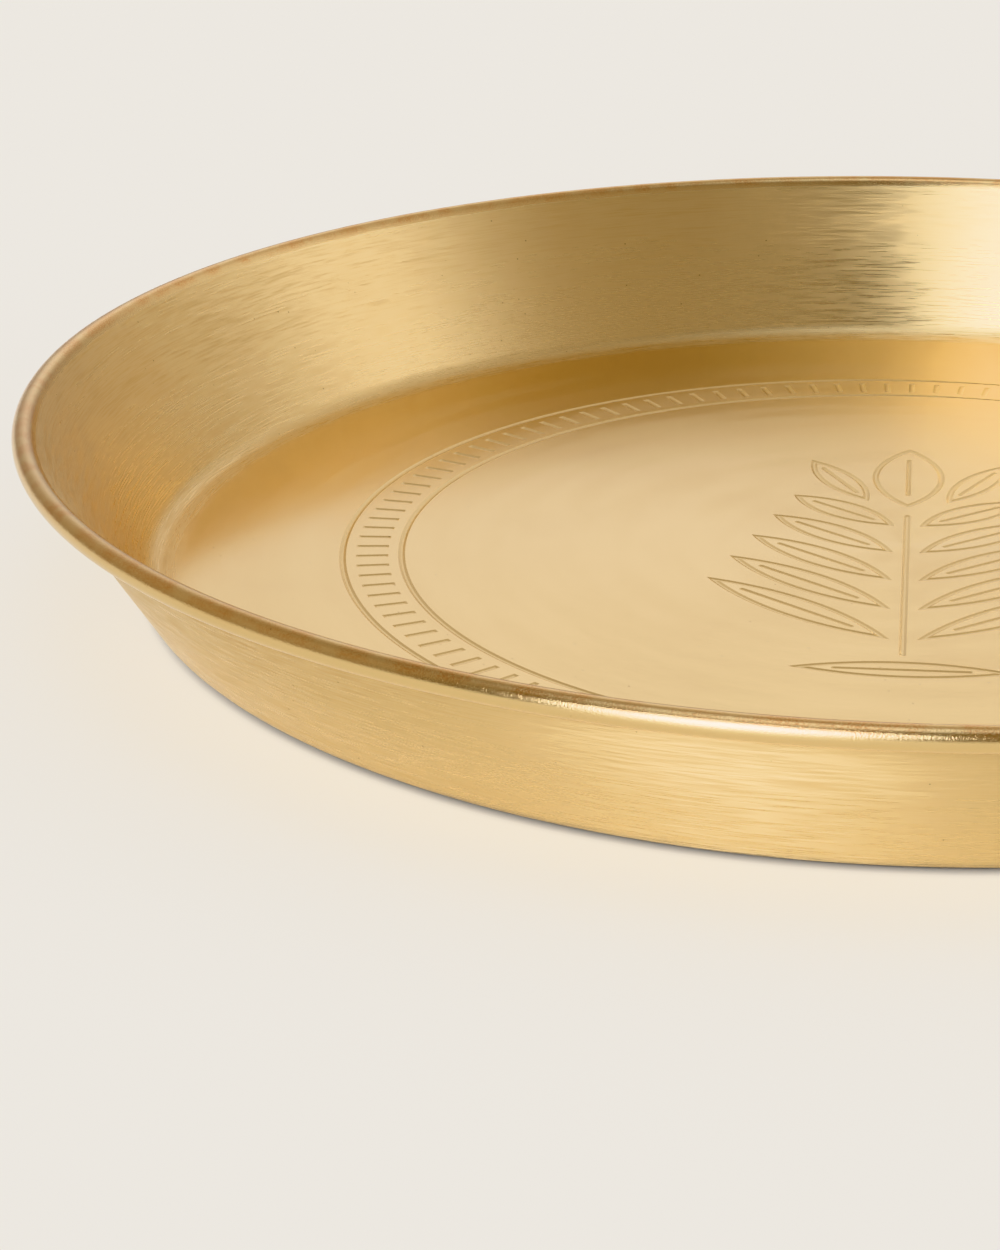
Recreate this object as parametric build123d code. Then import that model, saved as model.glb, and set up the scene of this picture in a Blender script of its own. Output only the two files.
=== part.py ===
from build123d import *
import math
import os

# A round brass serving tray, spun from one disc of sheet, with its rim curled over a wire.
# Millimetres. The origin is the centre of the underside, where the tray rests, and +Z is up.

# Driving dimensions of the pan.
RIM_DIAMETER = 254.0
HEIGHT = 25.0
FLOOR_DIAMETER = 214.0  # the flat part of the floor, inside the bend up to the wall
SHEET = 0.8
CORNER_RADIUS = 4.5  # outside of the bend between floor and wall

# The rim's curl and the wire inside it.
CURL_BORE_RADIUS = 0.8
CURL_TURN = 295.0  # degrees that the sheet turns round the wire
WIRE_CLEARANCE = 0.05
WIRE_END_GAP = 0.8  # between the two cut ends of the wire

# Etching on the floor.
ETCH_DEPTH = 0.12
LINE_WIDTH = 1.0
RING_RADII = (73.0, 81.5)  # centre lines of the border's two rings
TICK_COUNT = 120
TICK_RING_GAP = 1.9  # from a ring's centre line to the end of a tick

# The leafy sprig in the middle of the floor. It grows along +Y and is the same left and right.
VEIN_WIDTH = 0.8
STEM_START_Y = -44.0
STEM_END_Y = 13.0
LEAF_PAIRS = 5
LEAF_FIRST_Y = -38.0
LEAF_PITCH = 11.5
LEAF_ANGLE = 40.0  # degrees above the X axis
LEAF_LENGTHS = (34.0, 20.0)  # the lowest pair and the highest, with the others evenly between
LEAF_WIDTH = 7.0
LEAF_STEM_GAP = 1.8
BUD_BASE_Y = 16.5
BUD_LENGTH = 28.0
BUD_WIDTH = 11.0
PETAL_ANGLE = 64.0
PETAL_LENGTH = 21.0
PETAL_WIDTH = 6.0
PETAL_BASE = (5.8, 19.0)
MOUND_Y = -49.0
MOUND_LENGTH = 30.0
MOUND_WIDTH = 6.0
VEIN_SHARE = 0.62  # a leaf's middle vein, as a share of the leaf's length

# Worked out from the driving dimensions.
BEAD_RADIUS = CURL_BORE_RADIUS + SHEET
BEAD_CENTRE = Vector(RIM_DIAMETER / 2 - BEAD_RADIUS, HEIGHT - BEAD_RADIUS)
CORNER_CENTRE = Vector(FLOOR_DIAMETER / 2, CORNER_RADIUS)
INNER_CORNER_RADIUS = CORNER_RADIUS - SHEET


def wall_angle():
    """The wall's slope above the floor, in degrees.

    The wall's inner face is tangent to the inside of the corner and to the outside of the bead.
    """
    span = BEAD_CENTRE - CORNER_CENTRE
    line_to_bead = math.atan2(span.Y, span.X)
    offset = INNER_CORNER_RADIUS + BEAD_RADIUS
    return math.degrees(line_to_bead + math.asin(offset / span.length))


def on_circle(centre, radius, angle):
    """The point of a circle at an angle in degrees from +X."""
    turn = math.radians(angle)
    return centre + Vector(math.cos(turn), math.sin(turn)) * radius


def arc(centre, radius, start, end):
    """The arc of a circle from one angle to another, in degrees, through the angle between."""
    middle = (start + end) / 2
    points = [on_circle(centre, radius, angle) for angle in (start, middle, end)]
    return ThreePointArc(*points)


def half_section():
    """The sheet's section from the axis to the curl's cut edge. X is the radius and Y the height."""
    slope = wall_angle()
    wall_side = 90 + slope  # the direction from the bead's centre to the wall
    below = -90 + slope  # the direction from the corner's centre to the wall
    curl_end = wall_side - CURL_TURN
    inner_corner = arc(CORNER_CENTRE, INNER_CORNER_RADIUS, -90, below)
    curl_outside = arc(BEAD_CENTRE, BEAD_RADIUS, wall_side, curl_end)
    curl_inside = arc(BEAD_CENTRE, CURL_BORE_RADIUS, curl_end, wall_side)
    outer_corner = arc(CORNER_CENTRE, CORNER_RADIUS, below, -90)
    edges = [
        Line((0, SHEET), inner_corner @ 0),
        inner_corner,
        Line(inner_corner @ 1, curl_outside @ 0),
        curl_outside,
        Line(curl_outside @ 1, curl_inside @ 0),
        curl_inside,
        Line(curl_inside @ 1, outer_corner @ 0),
        outer_corner,
        Line(outer_corner @ 1, (0, 0)),
        Line((0, 0), (0, SHEET)),
    ]
    return make_face(edges)


def lens(radius, half_gap):
    """Where two equal circles overlap: a pointed leaf along X, with its middle at the origin."""
    above = Pos(0, half_gap) * Circle(radius)
    below = Pos(0, -half_gap) * Circle(radius)
    return above & below


def leaf_line(length, width):
    """A leaf's outline as a line of constant width, with its base at the origin and its tip on +X."""
    side_radius = (length**2 / 4 + width**2 / 4) / width
    half_gap = side_radius - width / 2
    outline = lens(side_radius, half_gap) - lens(side_radius - LINE_WIDTH, half_gap)
    return Pos(length / 2, 0) * outline


def leaf(length, width):
    """A leaf's outline and its middle vein."""
    vein = Pos(length / 2, 0) * SlotOverall(length * VEIN_SHARE, VEIN_WIDTH)
    return [leaf_line(length, width), vein]


def both_sides(x, y, angle, shapes):
    """Shapes drawn along +X, placed right of the stem, with their mirror images left of it."""
    right = [Pos(x, y) * Rot(0, 0, angle) * shape for shape in shapes]
    left = [mirror(shape, Plane.YZ) for shape in right]
    return right + left


def sprig():
    """Every line of the sprig, as flat shapes that don't touch."""
    stem_length = STEM_END_Y - STEM_START_Y
    stem_middle = (STEM_END_Y + STEM_START_Y) / 2
    lines = [Pos(0, stem_middle) * Rot(0, 0, 90) * SlotOverall(stem_length, LINE_WIDTH)]
    longest, shortest = LEAF_LENGTHS
    for pair in range(LEAF_PAIRS):
        length = longest + (shortest - longest) * pair / (LEAF_PAIRS - 1)
        height = LEAF_FIRST_Y + LEAF_PITCH * pair
        lines += both_sides(LEAF_STEM_GAP, height, LEAF_ANGLE, leaf(length, LEAF_WIDTH))
    lines += both_sides(*PETAL_BASE, PETAL_ANGLE, leaf(PETAL_LENGTH, PETAL_WIDTH))
    lines += [Pos(0, BUD_BASE_Y) * Rot(0, 0, 90) * shape for shape in leaf(BUD_LENGTH, BUD_WIDTH)]
    lines += [Pos(-MOUND_LENGTH / 2, MOUND_Y) * shape for shape in leaf(MOUND_LENGTH, MOUND_WIDTH)]
    return lines


def border():
    """Two rings with short radial ticks between them, as flat shapes that don't touch."""
    rings = [Circle(r + LINE_WIDTH / 2) - Circle(r - LINE_WIDTH / 2) for r in RING_RADII]
    inner, outer = RING_RADII
    tick = Rectangle(outer - inner - 2 * TICK_RING_GAP, LINE_WIDTH)
    pitch = 360 / TICK_COUNT
    middle = (inner + outer) / 2
    ticks = [Rot(0, 0, pitch * n) * Pos(middle, 0) * tick for n in range(TICK_COUNT)]
    return rings + ticks


def tray_pan():
    """The sheet: floor, corner, flared wall and rim curl, with the etching cut into the floor."""
    shell = revolve(Plane.XZ * half_section(), Axis.Z)
    etch_floor = Plane.XY.offset(SHEET - ETCH_DEPTH)
    etching = Sketch() + border() + sprig()
    return shell - extrude(etch_floor * etching, amount=2 * ETCH_DEPTH)


def rim_wire():
    """The wire inside the curl: one open ring, cut to length and butted at the back."""
    ring_radius = BEAD_CENTRE.X
    gap_angle = math.degrees(WIRE_END_GAP / ring_radius)
    section = Pos(*BEAD_CENTRE) * Circle(CURL_BORE_RADIUS - WIRE_CLEARANCE)
    ring = revolve(Plane.XZ * section, Axis.Z, 360 - gap_angle)
    return Rot(0, 0, 90 + gap_angle / 2) * ring


NODES = {
    "tray_pan": tray_pan,
    "rim_wire": rim_wire,
}

os.makedirs("parts", exist_ok=True)
for name, make in NODES.items():
    piece = make()
    piece.label = name
    export_step(piece, f"parts/{name}.step")
    print(name, "solids", len(piece.solids()), "volume", round(piece.volume, 1))
print("wall slope", round(wall_angle(), 2), "degrees")
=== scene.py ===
"""A round brass tray, spun from sheet, with a wired rim and a floor etched with a border and a sprig.

Metres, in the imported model's frame: the tray rests on Z = 0 with its axis on Z.
"""
import math

import bmesh
import bpy
from mathutils import Matrix, Vector
from mathutils.geometry import delaunay_2d_cdt


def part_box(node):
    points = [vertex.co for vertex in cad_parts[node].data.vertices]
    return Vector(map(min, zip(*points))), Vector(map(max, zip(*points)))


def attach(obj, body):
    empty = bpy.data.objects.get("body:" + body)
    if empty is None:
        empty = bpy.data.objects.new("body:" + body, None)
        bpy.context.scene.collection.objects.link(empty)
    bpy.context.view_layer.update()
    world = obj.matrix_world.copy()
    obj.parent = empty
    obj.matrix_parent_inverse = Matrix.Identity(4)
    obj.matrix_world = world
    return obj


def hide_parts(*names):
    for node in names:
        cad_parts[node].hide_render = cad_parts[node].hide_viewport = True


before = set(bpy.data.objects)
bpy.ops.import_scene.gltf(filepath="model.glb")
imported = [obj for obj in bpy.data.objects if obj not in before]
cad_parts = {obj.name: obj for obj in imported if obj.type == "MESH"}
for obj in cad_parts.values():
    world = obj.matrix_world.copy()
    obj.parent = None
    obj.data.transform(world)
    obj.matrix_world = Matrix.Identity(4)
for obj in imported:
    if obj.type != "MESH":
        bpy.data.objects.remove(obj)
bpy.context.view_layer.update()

MM = 0.001

# The pan's overall size comes from the frame, and the rest repeats the CAD's dimensions.
_, pan_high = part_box("tray_pan")
RIM_RADIUS = pan_high.x
HEIGHT = pan_high.z
FLOOR_RADIUS = 107.0 * MM
SHEET = 0.8 * MM
CORNER_RADIUS = 4.5 * MM
CURL_BORE_RADIUS = 0.8 * MM
CURL_TURN = 295.0
BEAD_RADIUS = CURL_BORE_RADIUS + SHEET
BEAD_CENTRE = Vector((RIM_RADIUS - BEAD_RADIUS, HEIGHT - BEAD_RADIUS))
CORNER_CENTRE = Vector((FLOOR_RADIUS, CORNER_RADIUS))

# How finely the sheet is meshed.
SEGMENTS = 360
BEAD_STEPS = 48
CURL_BORE_STEPS = 20
CORNER_STEPS = 14
WALL_STEPS = 10
UNDERSIDE_STEPS = 8
SHARP_ANGLE = 15.0  # degrees between two faces, beyond which their shared edge is crisp
MERGE_DISTANCE = 1e-7  # metres, within which the floor's edge and the shell's are one
OUTLINE_TOLERANCE = 1e-5  # millimetres, within which two points of the etching are one
TRIANGLES_TO_HULL = 0  # the kind of result asked of Blender's triangulation
BRUSHED_SLOT = 0
ETCHED_SLOT = 1

# Etching, as in the CAD, with sides that slope in by EDGE_SLOPE.
ETCH_DEPTH = 0.12 * MM
EDGE_SLOPE = 0.36 * MM
LINE_WIDTH = 1.0 * MM
RING_RADII = (73.0 * MM, 81.5 * MM)
TICK_COUNT = 120
TICK_RING_GAP = 1.9 * MM
VEIN_WIDTH = 0.8 * MM
STEM_Y = (-44.0 * MM, 13.0 * MM)
LEAF_PAIRS = 5
LEAF_FIRST_Y = -38.0 * MM
LEAF_PITCH = 11.5 * MM
LEAF_ANGLE = 40.0
LEAF_LENGTHS = (34.0 * MM, 20.0 * MM)
LEAF_WIDTH = 7.0 * MM
LEAF_STEM_GAP = 1.8 * MM
BUD_BASE_Y = 16.5 * MM
BUD_LENGTH = 28.0 * MM
BUD_WIDTH = 11.0 * MM
PETAL_ANGLE = 64.0
PETAL_LENGTH = 21.0 * MM
PETAL_WIDTH = 6.0 * MM
PETAL_BASE = (5.8 * MM, 19.0 * MM)
MOUND_Y = -49.0 * MM
MOUND_LENGTH = 30.0 * MM
MOUND_WIDTH = 6.0 * MM
VEIN_SHARE = 0.62
LEAF_SIDE_STEPS = 20
SLOT_END_STEPS = 6


# ---------------------------------------------------------------- the sheet's section

def arc_points(centre, radius, start, end, steps):
    """Points along an arc, in (radius, height), from one angle to another in degrees."""
    turns = [math.radians(start + (end - start) * i / steps) for i in range(steps + 1)]
    return [centre + radius * Vector((math.cos(a), math.sin(a))) for a in turns]


def between(start, end, steps):
    """The points that divide a straight run, without its two ends."""
    return [start.lerp(end, i / steps) for i in range(1, steps)]


def wall_slope():
    """The wall's slope above the floor, in degrees, tangent to the corner and to the bead."""
    span = BEAD_CENTRE - CORNER_CENTRE
    offset = CORNER_RADIUS - SHEET + BEAD_RADIUS
    return math.degrees(math.atan2(span.y, span.x) + math.asin(offset / span.length))


def shell_section():
    """The sheet's outline from the floor's edge over the rim and back under to the middle."""
    slope = wall_slope()
    wall_side = 90 + slope
    below = -90 + slope
    curl_end = wall_side - CURL_TURN
    inside = arc_points(CORNER_CENTRE, CORNER_RADIUS - SHEET, -90, below, CORNER_STEPS)
    bead = arc_points(BEAD_CENTRE, BEAD_RADIUS, wall_side, curl_end, BEAD_STEPS)
    bore = arc_points(BEAD_CENTRE, CURL_BORE_RADIUS, curl_end, wall_side, CURL_BORE_STEPS)
    outside = arc_points(CORNER_CENTRE, CORNER_RADIUS, below, -90, CORNER_STEPS)
    points = list(inside)
    points += between(inside[-1], bead[0], WALL_STEPS)
    points += bead
    points += bore
    points += between(bore[-1], outside[0], WALL_STEPS)
    points += outside
    middle = Vector((FLOOR_RADIUS / UNDERSIDE_STEPS, 0.0))
    points += between(outside[-1], middle, UNDERSIDE_STEPS - 1)
    points.append(middle)
    return points


def ring_points(radius, height):
    """Points round a level circle."""
    turns = [2 * math.pi * i / SEGMENTS for i in range(SEGMENTS)]
    return [Vector((radius * math.cos(a), radius * math.sin(a), height)) for a in turns]


# ---------------------------------------------------------------- the etching's outlines

def placed(loop, x, y, angle=0.0, mirrored=False):
    """A loop of flat points turned by an angle in degrees, moved, and perhaps mirrored in X."""
    turn = Matrix.Rotation(math.radians(angle), 2)
    moved = [turn @ point + Vector((x, y)) for point in loop]
    return [Vector((-p.x, p.y)) for p in moved] if mirrored else moved


def lens_loop(length, width, inset):
    """A pointed leaf's outline along +X from the origin, with both sides set in by inset."""
    side_radius = (length**2 / 4 + width**2 / 4) / width
    half_gap = side_radius - width / 2
    radius = side_radius - inset
    half_angle = math.acos(half_gap / radius)
    sides = []
    for side in (1, -1):
        for step in range(LEAF_SIDE_STEPS):
            angle = half_angle * (1 - 2 * step / LEAF_SIDE_STEPS) * side
            x = length / 2 + radius * math.sin(angle)
            y = (radius * math.cos(angle) - half_gap) * side
            sides.append(Vector((x, y)))
    return sides


def slot_loop(length, width, inset):
    """A round-ended slot along X, with its middle at the origin, set in by inset."""
    radius = width / 2 - inset
    reach = length / 2 - width / 2
    loop = []
    for end in (0, 1):
        for step in range(SLOT_END_STEPS + 1):
            turn = math.pi * (step / SLOT_END_STEPS - 0.5 + end)
            centre = reach if end == 0 else -reach
            loop.append(Vector((centre + radius * math.cos(turn), radius * math.sin(turn))))
    return loop


def tick_loop(length, width, inset):
    """A rectangle along X, with its middle at the origin, set in by inset."""
    x, y = length / 2 - inset, width / 2 - inset
    return [Vector(corner) for corner in ((-x, -y), (x, -y), (x, y), (-x, y))]


def leaf_lines(length, width):
    """A leaf's outline and vein along +X: (loop, is it cut deep) pairs."""
    vein = length * VEIN_SHARE
    lines = [
        (lens_loop(length, width, 0.0), False),
        (lens_loop(length, width, EDGE_SLOPE), True),
        (lens_loop(length, width, LINE_WIDTH - EDGE_SLOPE), True),
        (lens_loop(length, width, LINE_WIDTH), False),
    ]
    for inset, deep in ((0.0, False), (EDGE_SLOPE, True)):
        lines.append((placed(slot_loop(vein, VEIN_WIDTH, inset), length / 2, 0.0), deep))
    return lines


def moved_lines(lines, x, y, angle=0.0, mirrored=False):
    """The same loops, each placed as placed() does."""
    return [(placed(loop, x, y, angle, mirrored), deep) for loop, deep in lines]


def sprig_lines():
    """Every loop of the leafy sprig."""
    start, end = STEM_Y
    lines = []
    for inset, deep in ((0.0, False), (EDGE_SLOPE, True)):
        stem = slot_loop(end - start, LINE_WIDTH, inset)
        lines.append((placed(stem, 0.0, (start + end) / 2, 90), deep))
    longest, shortest = LEAF_LENGTHS
    for mirrored in (False, True):
        for pair in range(LEAF_PAIRS):
            length = longest + (shortest - longest) * pair / (LEAF_PAIRS - 1)
            height = LEAF_FIRST_Y + LEAF_PITCH * pair
            leaf = leaf_lines(length, LEAF_WIDTH)
            lines += moved_lines(leaf, LEAF_STEM_GAP, height, LEAF_ANGLE, mirrored)
        petal = leaf_lines(PETAL_LENGTH, PETAL_WIDTH)
        lines += moved_lines(petal, *PETAL_BASE, PETAL_ANGLE, mirrored)
    lines += moved_lines(leaf_lines(BUD_LENGTH, BUD_WIDTH), 0.0, BUD_BASE_Y, 90)
    lines += moved_lines(leaf_lines(MOUND_LENGTH, MOUND_WIDTH), -MOUND_LENGTH / 2, MOUND_Y)
    return lines


def border_lines():
    """The two rings and the ticks between them."""
    lines = []
    for radius in RING_RADII:
        half = LINE_WIDTH / 2
        for reach, deep in ((half, False), (half - EDGE_SLOPE, True)):
            for edge in (radius - reach, radius + reach):
                lines.append(([p.xy for p in ring_points(edge, 0.0)], deep))
    inner, outer = RING_RADII
    length = outer - inner - 2 * TICK_RING_GAP
    for number in range(TICK_COUNT):
        angle = 360 * number / TICK_COUNT
        middle = Matrix.Rotation(math.radians(angle), 2) @ Vector(((inner + outer) / 2, 0.0))
        for inset, deep in ((0.0, False), (EDGE_SLOPE, True)):
            tick = tick_loop(length, LINE_WIDTH, inset)
            lines.append((placed(tick, middle.x, middle.y, angle), deep))
    return lines


def etched_floor(edge_ring):
    """The floor's top as triangles: points, faces and whether each face is etched."""
    points = [p.xy for p in edge_ring]
    deep = [False] * len(points)
    edges = []
    for loop, is_deep in border_lines() + sprig_lines():
        first = len(points)
        count = len(loop)
        points += loop
        deep += [is_deep] * count
        edges += [(first + i, first + (i + 1) % count) for i in range(count)]
    scaled = [p / MM for p in points]
    found, _, faces, sources, _, _ = delaunay_2d_cdt(
        scaled, edges, [], TRIANGLES_TO_HULL, OUTLINE_TOLERANCE, True
    )
    is_cut = [any(deep[i] for i in source) for source in sources]
    corners = []
    for point, cut in zip(found, is_cut):
        depth = ETCH_DEPTH if cut else 0.0
        corners.append(Vector((point.x * MM, point.y * MM, SHEET - depth)))
    etched = [any(is_cut[i] for i in face) for face in faces]
    return corners, [list(face) for face in faces], etched


# ---------------------------------------------------------------- meshes

def build_pan():
    """The whole sheet as one closed mesh: the turned shell and the etched floor."""
    section = shell_section()
    points = []
    faces = []
    for point in section:
        points += ring_points(point.x, point.y)
    for row in range(len(section) - 1):
        for i in range(SEGMENTS):
            j = (i + 1) % SEGMENTS
            a, b = row * SEGMENTS, (row + 1) * SEGMENTS
            faces.append((a + i, a + j, b + j, b + i))
    last = (len(section) - 1) * SEGMENTS
    points.append(Vector((0.0, 0.0, 0.0)))
    centre = len(points) - 1
    for i in range(SEGMENTS):
        faces.append((last + i, last + (i + 1) % SEGMENTS, centre))
    turned = len(faces)

    corners, floor_faces, etched = etched_floor(points[:SEGMENTS])
    offset = len(points)
    points += corners
    faces += [tuple(offset + i for i in face) for face in floor_faces]

    mesh = bpy.data.meshes.new("tray_pan_sheet")
    mesh.from_pydata(points, [], faces)
    for number, polygon in enumerate(mesh.polygons):
        is_floor = number >= turned
        polygon.use_smooth = not is_floor
        is_etched = is_floor and etched[number - turned]
        polygon.material_index = ETCHED_SLOT if is_etched else BRUSHED_SLOT
    return mesh


def join_seams(mesh):
    """Merges the floor's edge with the shell's, and turns every face outwards."""
    work = bmesh.new()
    work.from_mesh(mesh)
    bmesh.ops.remove_doubles(work, verts=work.verts, dist=MERGE_DISTANCE)
    bmesh.ops.recalc_face_normals(work, faces=work.faces)
    work.to_mesh(mesh)
    work.free()


def sharpen_edges(mesh):
    """Keeps the curl's cut edge and the etched lines crisp, and everything rounder smooth."""
    mesh.set_sharp_from_angle(angle=math.radians(SHARP_ANGLE))


# ---------------------------------------------------------------- materials

class Nodes:
    """Adds nodes to a material's or a world's tree and links them."""

    def __init__(self, owner):
        owner.use_nodes = True
        self.tree = owner.node_tree
        self.tree.nodes.clear()

    def add(self, kind, inputs=(), **settings):
        """A new node. inputs gives each input's value, or the output that feeds it."""
        node = self.tree.nodes.new(kind)
        for key, value in settings.items():
            setattr(node, key, value)
        for key, value in dict(inputs).items():
            if isinstance(value, bpy.types.NodeSocket):
                self.tree.links.new(value, node.inputs[key])
            else:
                node.inputs[key].default_value = value
        return node

    def maths(self, operation, *values):
        """The result of one operation on numbers or on other nodes' outputs."""
        return self.add("ShaderNodeMath", enumerate(values), operation=operation).outputs[0]

    def vector_maths(self, operation, output, *values):
        """The same for vectors, with the name of the output that is wanted."""
        node = self.add("ShaderNodeVectorMath", enumerate(values), operation=operation)
        return node.outputs[output]

    def ramp(self, value, low, high, to_low=0.0, to_high=1.0):
        """Maps low..high smoothly to to_low..to_high."""
        inputs = {0: value, 1: low, 2: high, 3: to_low, 4: to_high}
        return self.add("ShaderNodeMapRange", inputs, interpolation_type="SMOOTHSTEP").outputs[0]

    def noise(self, vector, size, detail=2.0, w=None):
        """Noise from 0 to 1 with features of a size in metres, or with no size if it is None."""
        inputs = {"Vector": vector, "Scale": 1.0 if size is None else 1 / size, "Detail": detail}
        if w is not None:
            inputs["W"] = w
        dimensions = "3D" if w is None else "4D"
        return self.add("ShaderNodeTexNoise", inputs, noise_dimensions=dimensions).outputs[0]

    def mixed(self, factor, first, second):
        """A colour between two others."""
        node = self.add("ShaderNodeMix", data_type="RGBA")
        for key, value in (("Factor_Float", factor), ("A_Color", first), ("B_Color", second)):
            socket = next(i for i in node.inputs if i.identifier == key)
            if isinstance(value, bpy.types.NodeSocket):
                self.tree.links.new(value, socket)
            else:
                socket.default_value = value
        return next(o for o in node.outputs if o.identifier == "Result_Color")


BRASS = (0.86, 0.622, 0.29, 1.0)
DARKER_WALL_BRASS = (0.78, 0.573, 0.277, 1.0)  # the wall's colour, darker than the floor's; the wall also has more scratches
ETCHED_BRASS = (0.81, 0.595, 0.28, 1.0)
WIRE_BRASS = (0.80, 0.57, 0.27, 1.0)

# The middle of a noise's range, where nearly all of its values lie.
NOISE_LOW, NOISE_HIGH = 0.3, 0.7

# Clouding and pits, on every brass surface.
TARNISH = (0.62, 0.38, 0.15, 1.0)
CLOUD_SIZE = 22 * MM
CLOUD_STRENGTH = 0.12
CLOUD_EDGES = (0.45, 0.8)  # noise values at which clouding starts and is full
SPECK = (0.2, 0.11, 0.05, 1.0)
PIT_SPACING = 2.9 * MM
PIT_STRENGTH = 0.6
PIT_EDGES = (0.025, 0.055)  # a pit's dark middle and its rim, as shares of the spacing
PIT_ROUGHNESS = 0.3  # added in a pit

# Brush lines run round the axis: each kind has a spacing across them in metres, and the number of
# them that it takes to go once round the tray.
FINE_LINES = (0.16 * MM, 130)
COARSE_LINES = (0.6 * MM, 30)
BANDS = (5.0 * MM, 12)
DRAW_LINES = (0.1 * MM, 60)
LINE_DEPTH = 0.001 * MM
BRUSH_STRETCH = 0.9  # how far the lines stretch a highlight, from 0 to 1
ACROSS_THE_LINES = 0.25  # a quarter turn, as the shader counts turns

# The sheet's finish: roughness between the scratches, in them, and its change from band to band.
POLISHED = 0.15
SCRATCHED = 0.55
BAND_CHANGE = 0.02
FLOOR_LINES = 0.15  # how strong the lines are on the floor, next to those on the wall
FLOOR_EDGE = 3.0 * MM  # over which they grow to their full strength, up to the floor's edge
SCRATCH_EDGES = (0.3, 0.75)  # noise values at which a scratch starts and is full
BETWEEN_SCRATCHES = 0.3  # the share of a scratch's roughness that is left between scratches
WALL_ENDS = (0.2 * HEIGHT, 0.8 * HEIGHT)
WALL_SCRATCHES = (0.75, 1.1)  # how strong the scratches are at those heights

# The bead's finish: smooth but for its dimples, and with painted shade, a brown darkening, on top.
BEAD_ROUGHNESS = 0.17
BEAD_EDGE = 0.3 * MM  # over which the bead's finish fades out
BEAD_DIMPLE = 0.2 * MM
DIMPLE_DEPTH = 0.027 * MM
# painted shade: the brown that darkens the top of the bead
TOP_SHADE_BROWN = (0.66, 0.32, 0.11, 1.0)
TOP_SHADE_STRENGTH = 0.8
TOP_SHADE_REACH = 0.8  # how far above the bead's centre the painted shade is full, as a share of its radius
TOP_SHADE_PATCH = 4 * MM
PATCH_EDGES = (0.35, 0.65)  # noise values at which a patch or a grain starts and is full
BETWEEN_PATCHES = 0.3
BETWEEN_GRAINS = 0.35

ETCHED_ROUGHNESS = (0.27, 0.33)
ETCHED_GRAIN = 0.12 * MM
ETCHED_GRAIN_DEPTH = 0.002 * MM
WIRE_ROUGHNESS = (0.3, 0.4)
DRAW_LINE_DEPTH = 0.003 * MM
DRAW_STRETCH = 0.4


def object_place(nodes):
    """The place on the object, in metres."""
    return nodes.add("ShaderNodeTexCoord").outputs["Object"]


def round_the_axis(nodes):
    """The direction away from the axis, the distance from it, and the height."""
    x, y, z = nodes.add("ShaderNodeSeparateXYZ", {0: object_place(nodes)}).outputs
    flat = nodes.add("ShaderNodeCombineXYZ", {0: x, 1: y}).outputs[0]
    outward = nodes.vector_maths("NORMALIZE", "Vector", flat)
    return outward, nodes.vector_maths("LENGTH", "Value", flat), z


def turned_lines(nodes, spacing, around):
    """Noise drawn out into lines round the axis, seamless all the way round."""
    outward, radius, z = round_the_axis(nodes)
    scaled = {0: outward, "Scale": around / (2 * math.pi)}
    round_place = nodes.add("ShaderNodeVectorMath", scaled, operation="SCALE").outputs[0]
    lines_out = nodes.maths("DIVIDE", radius, spacing)
    lines_up = nodes.maths("DIVIDE", z, spacing)
    across = nodes.add("ShaderNodeCombineXYZ", {2: lines_out}).outputs[0]
    place = nodes.vector_maths("ADD", "Vector", round_place, across)
    return nodes.noise(place, None, detail=1.0, w=lines_up)


def bead_mask(nodes):
    """1 on the rim's bead, fading to 0 just off it."""
    _, radius, z = round_the_axis(nodes)
    section_place = nodes.add("ShaderNodeCombineXYZ", {0: radius, 1: z}).outputs[0]
    offset = nodes.vector_maths("DISTANCE", "Value", section_place, (*BEAD_CENTRE, 0.0))
    return nodes.ramp(offset, BEAD_RADIUS, BEAD_RADIUS + BEAD_EDGE, 1.0, 0.0)


def brass_base(nodes, colour):
    """Brass with faint warm clouding and a few tiny dark pits: its colour, and where the pits are."""
    where = object_place(nodes)
    clouds = nodes.noise(where, CLOUD_SIZE, detail=3.0)
    tarnish = nodes.ramp(clouds, *CLOUD_EDGES, 0.0, CLOUD_STRENGTH)
    clouded = nodes.mixed(tarnish, colour, TARNISH)
    cells = nodes.add("ShaderNodeTexVoronoi", {"Vector": where, "Scale": 1 / PIT_SPACING})
    pit = nodes.ramp(cells.outputs["Distance"], *PIT_EDGES, PIT_STRENGTH, 0.0)
    return nodes.mixed(pit, clouded, SPECK), pit


def bead_top_painted_shade(nodes, colour, on_bead):
    """Paints shade on the top of the bead, a darker brown, in soft patches with a fine grain."""
    where = object_place(nodes)
    _, _, z = round_the_axis(nodes)
    on_top = nodes.ramp(z, BEAD_CENTRE.y, BEAD_CENTRE.y + TOP_SHADE_REACH * BEAD_RADIUS)
    patches = nodes.noise(where, TOP_SHADE_PATCH, detail=3.0)
    grain = nodes.noise(where, BEAD_DIMPLE)
    top_shade = nodes.maths("MULTIPLY", nodes.maths("MULTIPLY", on_top, on_bead), TOP_SHADE_STRENGTH)
    for spots, least in ((patches, BETWEEN_PATCHES), (grain, BETWEEN_GRAINS)):
        top_shade = nodes.maths("MULTIPLY", top_shade, nodes.ramp(spots, *PATCH_EDGES, least, 1.0))
    return nodes.mixed(top_shade, colour, TOP_SHADE_BROWN)


def finish_brass(nodes, colour, roughness, relief, depth, stretch):
    """The brass shader: relief of a depth in metres, and highlights stretched across the lines."""
    bump = nodes.add("ShaderNodeBump", {"Strength": 1.0, "Distance": depth, "Height": relief})
    tangent = nodes.add("ShaderNodeTangent", direction_type="RADIAL", axis="Z")
    shader = nodes.add(
        "ShaderNodeBsdfPrincipled",
        {
            "Base Color": colour,
            "Metallic": 1.0,
            "Roughness": roughness,
            "Anisotropic": stretch,
            "Anisotropic Rotation": ACROSS_THE_LINES,
            "Normal": bump.outputs[0],
            "Tangent": tangent.outputs[0],
        },
    )
    nodes.add("ShaderNodeOutputMaterial", {"Surface": shader.outputs[0]})


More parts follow.
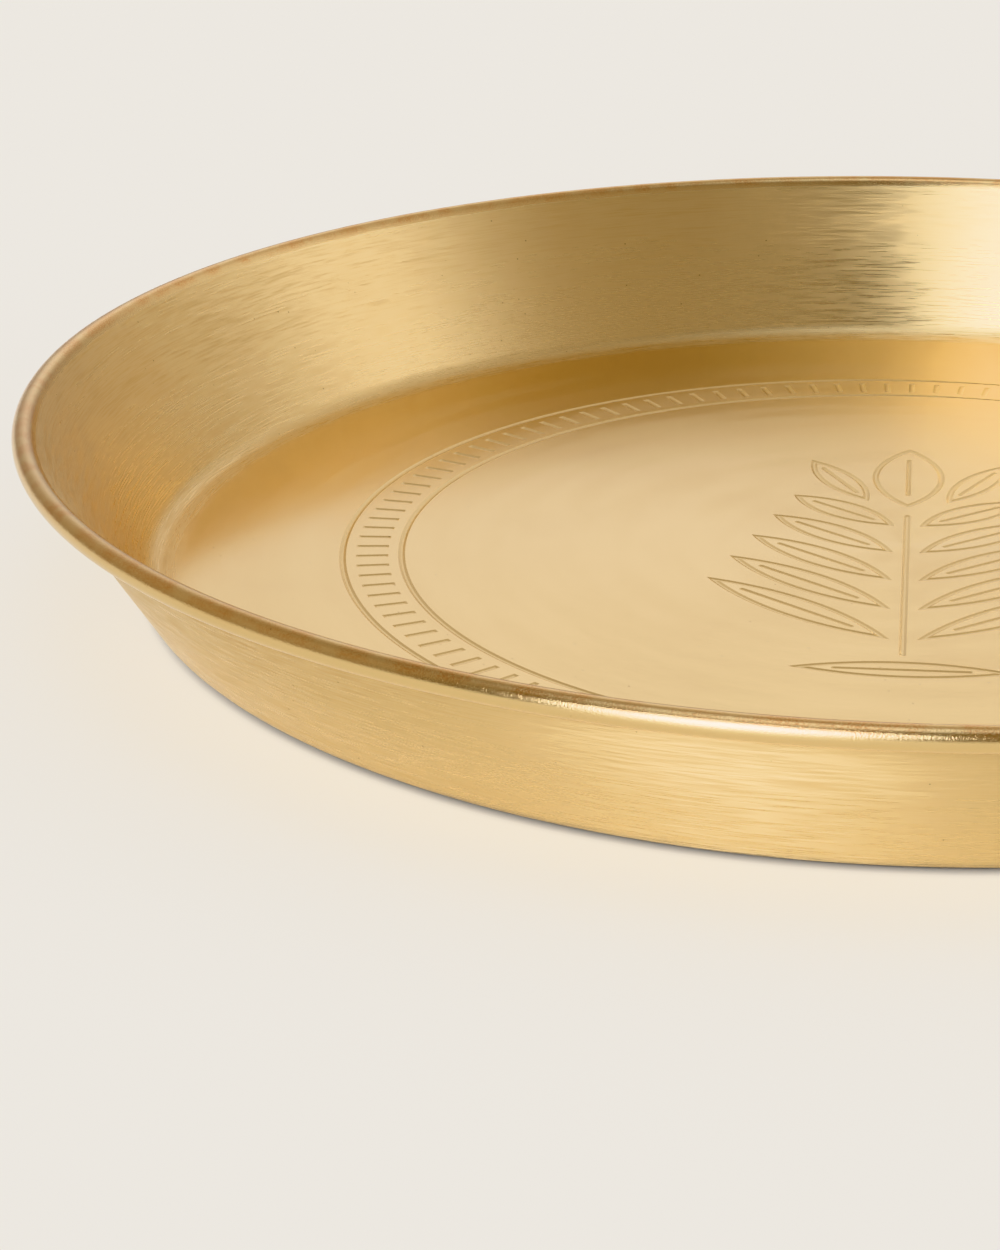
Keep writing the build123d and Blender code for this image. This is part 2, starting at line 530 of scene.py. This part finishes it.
def brushed_brass():
    """The sheet: brushed round the axis with fine scratches, and with a dimpled bead with painted
    shade on top.
    """
    material = bpy.data.materials.new("brushed_brass")
    nodes = Nodes(material)
    fine = turned_lines(nodes, *FINE_LINES)
    coarse = turned_lines(nodes, *COARSE_LINES)
    band = turned_lines(nodes, *BANDS)
    _, radius, z = round_the_axis(nodes)
    strength = nodes.ramp(radius, FLOOR_RADIUS - FLOOR_EDGE, FLOOR_RADIUS, FLOOR_LINES, 1.0)
    # the wall gets a darker brass than the floor
    colour, pit = brass_base(nodes, nodes.mixed(strength, BRASS, DARKER_WALL_BRASS))
    scratches = nodes.ramp(fine, *SCRATCH_EDGES, BETWEEN_SCRATCHES, 1.0)
    scratches = nodes.maths("MULTIPLY", scratches, strength)
    scratches = nodes.maths("MULTIPLY", scratches, nodes.ramp(z, *WALL_ENDS, *WALL_SCRATCHES))

    on_bead = bead_mask(nodes)
    # painted shade on the top of the bead
    colour = bead_top_painted_shade(nodes, colour, on_bead)
    dimples = nodes.noise(object_place(nodes), BEAD_DIMPLE, detail=3.0)
    lines = nodes.maths("MULTIPLY", nodes.maths("ADD", fine, coarse), strength)
    dimples = nodes.maths("MULTIPLY", dimples, on_bead)
    relief = nodes.maths("MULTIPLY_ADD", dimples, DIMPLE_DEPTH / LINE_DEPTH, lines)

    band_change = nodes.ramp(band, NOISE_LOW, NOISE_HIGH, -BAND_CHANGE, BAND_CHANGE)
    wall_rough = nodes.maths("MULTIPLY_ADD", scratches, SCRATCHED - POLISHED, POLISHED)
    wall_rough = nodes.maths("ADD", wall_rough, band_change)
    bead_more = nodes.maths("SUBTRACT", BEAD_ROUGHNESS, wall_rough)
    rough = nodes.maths("MULTIPLY_ADD", bead_more, on_bead, wall_rough)
    rough = nodes.maths("MULTIPLY_ADD", pit, PIT_ROUGHNESS, rough)
    finish_brass(nodes, colour, rough, relief, LINE_DEPTH, BRUSH_STRETCH)
    return material


def etched_brass():
    """The etched lines: a matt, slightly darker surface with a fine grain."""
    material = bpy.data.materials.new("etched_brass")
    nodes = Nodes(material)
    colour, _ = brass_base(nodes, ETCHED_BRASS)
    grain = nodes.noise(object_place(nodes), ETCHED_GRAIN)
    rough = nodes.ramp(grain, NOISE_LOW, NOISE_HIGH, *ETCHED_ROUGHNESS)
    finish_brass(nodes, colour, rough, grain, ETCHED_GRAIN_DEPTH, 0.0)
    return material


def drawn_wire_brass():
    """The wire: duller, with draw lines along it."""
    material = bpy.data.materials.new("drawn_wire_brass")
    nodes = Nodes(material)
    colour, _ = brass_base(nodes, WIRE_BRASS)
    lines = turned_lines(nodes, *DRAW_LINES)
    rough = nodes.ramp(lines, NOISE_LOW, NOISE_HIGH, *WIRE_ROUGHNESS)
    finish_brass(nodes, colour, rough, lines, DRAW_LINE_DEPTH, DRAW_STRETCH)
    return material


FLOOR_COLOUR = (0.41, 0.388, 0.343, 1.0)
FLOOR_ROUGHNESS = 0.9
FLOOR_SHINE = 0.1
FLOOR_GLOW = (1.0, 0.947, 0.861, 1.0)
FLOOR_GLOW_STRENGTH = 0.46
GLOW_START = 1.2 * MM  # outside the line where the tray leaves the floor, so a ring of painted shade lies round the tray's base
GLOW_WIDTH = 3 * MM


def pale_floor_material():
    """A pale floor lit half from above and half from below, as a light table is; the glow from below
    fades out near the tray, painting a ring of shade round its base.
    """
    material = bpy.data.materials.new("pale_floor")
    nodes = Nodes(material)
    _, radius, _ = round_the_axis(nodes)
    start = FLOOR_RADIUS + GLOW_START
    # painted shade: no glow next to the tray, so a dark ring lies round its base
    glow = nodes.ramp(radius, start, start + GLOW_WIDTH, 0.0, FLOOR_GLOW_STRENGTH)
    shader = nodes.add(
        "ShaderNodeBsdfPrincipled",
        {
            "Base Color": FLOOR_COLOUR,
            "Roughness": FLOOR_ROUGHNESS,
            "Specular IOR Level": FLOOR_SHINE,
            "Emission Color": FLOOR_GLOW,
            "Emission Strength": glow,
        },
    )
    nodes.add("ShaderNodeOutputMaterial", {"Surface": shader.outputs[0]})
    return material


# ---------------------------------------------------------------- the stage

# The room is warm and dim, and darker near the horizon. It has soft round glows and dark places. Each
# is given by azimuth from +X towards +Y, elevation, and the angle at which it falls to half, all in
# degrees, and strength.
ROOM = 0.54
HORIZON_DIP = 0.14
HORIZON_HEIGHT = 0.3  # the sine of the elevation at which the dip has mostly gone
DARKEST = 0.14
ROOM_COLOUR = (1.0, 0.87, 0.73, 1.0)
GLOW_COLOUR = (1.0, 1.1, 1.28, 1.0)
DARK_PLACES = {
    "behind_left": (150, 72, 19, 0.27),
    "behind_camera": (246, 45, 13, 1.4),
    "below_camera": (250, 14, 19, 1.4),
    "overhead": (305, 76, 21, 0.36),
}
GLOWS = {
    "window": (250, 27, 8, 42.0),
    "window_foot": (250, 9, 8, 9.0),
    "low_right": (357, 2, 15, 4.5),
    "ceiling": (217, 85, 13, 1.4),
    "backdrop": (94, 27, 15, 0.6),
    "right_wall": (36, 32, 20, 0.4),
}


def sky_direction(azimuth, elevation):
    """The direction to a place in the room, given in degrees."""
    a, e = math.radians(azimuth), math.radians(elevation)
    return Vector((math.cos(a) * math.cos(e), math.sin(a) * math.cos(e), math.sin(e)))


def summed_glows(nodes, glows, sign, start):
    """A value with soft round glows added to it, or taken from it where sign is -1."""
    towards = nodes.add("ShaderNodeTexCoord").outputs["Generated"]
    total = start
    for azimuth, elevation, half_width, strength in glows.values():
        aim = sky_direction(azimuth, elevation)
        closeness = nodes.vector_maths("DOT_PRODUCT", "Value", towards, aim)
        sharpness = math.log(2) / (1 - math.cos(math.radians(half_width)))
        power = nodes.maths("MULTIPLY", nodes.maths("SUBTRACT", closeness, 1.0), sharpness)
        total = nodes.maths("MULTIPLY_ADD", nodes.maths("EXPONENT", power), sign * strength, total)
    return total


def studio_light():
    """Light from all round: the dim room and the glows in it."""
    world = bpy.data.worlds.new("studio")
    nodes = Nodes(world)
    towards = nodes.add("ShaderNodeTexCoord").outputs["Generated"]
    height = nodes.add("ShaderNodeSeparateXYZ", {0: towards}).outputs[2]
    steepness = nodes.maths("POWER", nodes.maths("DIVIDE", height, HORIZON_HEIGHT), 2.0)
    dip = nodes.maths("EXPONENT", nodes.maths("MULTIPLY", steepness, -1.0))
    room = nodes.maths("MULTIPLY_ADD", dip, -HORIZON_DIP, ROOM)
    room = nodes.maths("MAXIMUM", summed_glows(nodes, DARK_PLACES, -1, room), DARKEST)
    glow = summed_glows(nodes, GLOWS, 1, 0.0)
    room_light = nodes.add("ShaderNodeBackground", {0: ROOM_COLOUR, 1: room})
    glow_light = nodes.add("ShaderNodeBackground", {0: GLOW_COLOUR, 1: glow})
    light = nodes.add("ShaderNodeAddShader", {0: room_light.outputs[0], 1: glow_light.outputs[0]})
    nodes.add("ShaderNodeOutputWorld", {"Surface": light.outputs[0]})
    bpy.context.scene.world = world


STAGE_REACH = 12.0  # metres from the middle to each side
STAGE_DROP = 0.05 * MM  # keeps the stage floor clear of the tray's underside


def stage_floor():
    """A plain square of floor under the tray."""
    mesh = bpy.data.meshes.new("stage_floor")
    half, z = STAGE_REACH, -STAGE_DROP
    corners = [(-half, -half, z), (half, -half, z), (half, half, z), (-half, half, z)]
    mesh.from_pydata(corners, [], [(0, 1, 2, 3)])
    mesh.materials.append(pale_floor_material())
    floor = bpy.data.objects.new("stage_floor", mesh)
    bpy.context.scene.collection.objects.link(floor)


# The camera that the photo's circles fit. Its place is in units of the rim's radius, in front of the
# tray and above the floor, and its angles are in radians: left of straight ahead, down, and tilted.
FOCAL_LENGTH = 97.7  # millimetres, with a sensor of SENSOR_WIDTH
SENSOR_WIDTH = 36.0
NEAREST_SEEN = 0.01
CAMERA_IN_FRONT = 3.6668
CAMERA_HEIGHT = 1.3133
CAMERA_YAW = 0.1268
CAMERA_PITCH = 0.3674
CAMERA_ROLL = -0.0103


def photo_camera():
    """The scene's camera, at the photo's viewing angle."""
    data = bpy.data.cameras.new("camera")
    data.lens = FOCAL_LENGTH
    data.sensor_width = SENSOR_WIDTH
    data.clip_start = NEAREST_SEEN
    camera = bpy.data.objects.new("camera", data)
    level_share = math.cos(CAMERA_PITCH)
    forward_x = -math.sin(CAMERA_YAW) * level_share
    forward_y = math.cos(CAMERA_YAW) * level_share
    forward = Vector((forward_x, forward_y, -math.sin(CAMERA_PITCH)))
    right = forward.cross(Vector((0, 0, 1))).normalized()
    up = right.cross(forward)
    right_rolled = right * math.cos(CAMERA_ROLL) + up * math.sin(CAMERA_ROLL)
    up_rolled = up * math.cos(CAMERA_ROLL) - right * math.sin(CAMERA_ROLL)
    turn = Matrix((right_rolled, up_rolled, -forward)).transposed()
    place = (0.0, -CAMERA_IN_FRONT * RIM_RADIUS, CAMERA_HEIGHT * RIM_RADIUS)
    camera.matrix_world = Matrix.Translation(place) @ turn.to_4x4()
    bpy.context.scene.collection.objects.link(camera)
    bpy.context.scene.camera = camera


# ---------------------------------------------------------------- putting it together

mesh = build_pan()
join_seams(mesh)
sharpen_edges(mesh)
mesh.materials.append(brushed_brass())
mesh.materials.append(etched_brass())
pan = bpy.data.objects.new("tray_pan_sheet", mesh)
bpy.context.scene.collection.objects.link(pan)
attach(pan, "root")
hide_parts("tray_pan")

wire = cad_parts["rim_wire"]
wire_look = drawn_wire_brass()
for material_slot in wire.material_slots:
    material_slot.material = wire_look

stage_floor()
studio_light()
photo_camera()
bpy.context.scene.view_settings.view_transform = "Khronos PBR Neutral"
